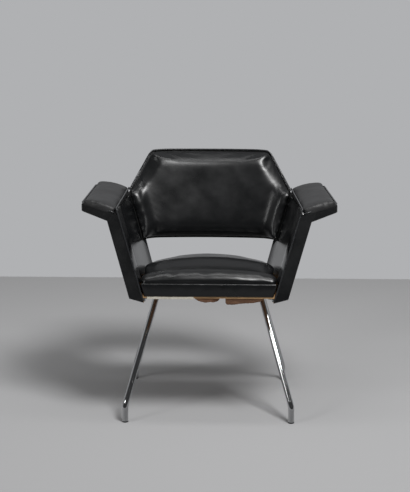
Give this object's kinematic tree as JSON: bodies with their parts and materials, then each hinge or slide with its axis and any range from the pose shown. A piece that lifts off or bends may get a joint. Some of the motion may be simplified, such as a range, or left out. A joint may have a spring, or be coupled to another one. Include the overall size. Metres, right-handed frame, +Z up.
{
  "type": "upholstered armchair",
  "caption": "Low armchair with a bowed padded back, flared padded arms, a loose-edged seat cushion and splayed tube legs under a plywood seat board.",
  "frame": {"origin": "on the floor, midway between the sides and midway between the front of the shell and the back of the backrest", "axes": "+Z up, -Y out of the front of the chair, +X to the right as seen from the front"},
  "size_m": [0.7424, 0.5364, 0.768],
  "materials": {
    "arm_vinyl": "black upholstery vinyl, dulled by use",
    "card": "pale tacking strip",
    "chrome_tube": "polished chromium plate",
    "dust_cloth": "torn tan cloth",
    "facing_vinyl": "glossy black upholstery vinyl",
    "foam": "aged upholstery foam",
    "glide_rubber": "dark moulded",
    "hardwood": "unfinished hardwood",
    "inner_vinyl": "glossy black upholstery vinyl",
    "outer_vinyl": "glossy black upholstery vinyl",
    "piping": "black vinyl piping",
    "plate_steel": "dark paint",
    "plywood": "unfinished flat plywood",
    "seat_vinyl": "glossy black upholstery vinyl",
    "shell_plywood": "moulded plywood, stained black",
    "steel": "zinc plated"
  },
  "bodies": {
    "root": {"armrest_cover_left": "arm_vinyl", "armrest_cover_right": "arm_vinyl", "armrest_foam_left": "foam", "armrest_foam_right": "foam", "armrest_piping_left": "piping", "armrest_piping_right": "piping", "back_cover": "outer_vinyl", "back_foam": "foam", "back_pad_cover": "inner_vinyl", "back_piping": "piping", "back_shell": "shell_plywood", "back_strap_left": "steel", "back_strap_right": "steel", "bolster_cover_left": "inner_vinyl", "bolster_cover_right": "inner_vinyl", "bracket_screws_left": "steel", "bracket_screws_right": "steel", "corner_bracket_left": "steel", "corner_bracket_right": "steel", "dust_cover": "dust_cloth", "dust_cover_tacks": "steel", "front_facing_left": "facing_vinyl", "front_facing_right": "facing_vinyl", "front_glide_left": "glide_rubber", "front_glide_right": "glide_rubber", "front_leg_left": "chrome_tube", "front_leg_right": "chrome_tube", "leg_plate_left": "plate_steel", "leg_plate_right": "plate_steel", "plate_screws": "steel", "rear_glide_left": "glide_rubber", "rear_glide_right": "glide_rubber", "rear_leg_left": "chrome_tube", "rear_leg_right": "chrome_tube", "seat_board": "plywood", "seat_cover": "seat_vinyl", "seat_foam": "foam", "side_bolts_left": "steel", "side_bolts_right": "steel", "side_cover_left": "outer_vinyl", "side_cover_right": "outer_vinyl", "side_foam_left": "foam", "side_foam_right": "foam", "side_lining_left": "inner_vinyl", "side_lining_right": "inner_vinyl", "side_piping_left": "piping", "side_piping_right": "piping", "side_rail_left": "hardwood", "side_rail_right": "hardwood", "side_shell_left": "shell_plywood", "side_shell_right": "shell_plywood", "strap_screws_left": "steel", "strap_screws_right": "steel", "tack_strip": "card", "tee_nuts_left": "steel", "tee_nuts_right": "steel"}
  },
  "joints": []
}
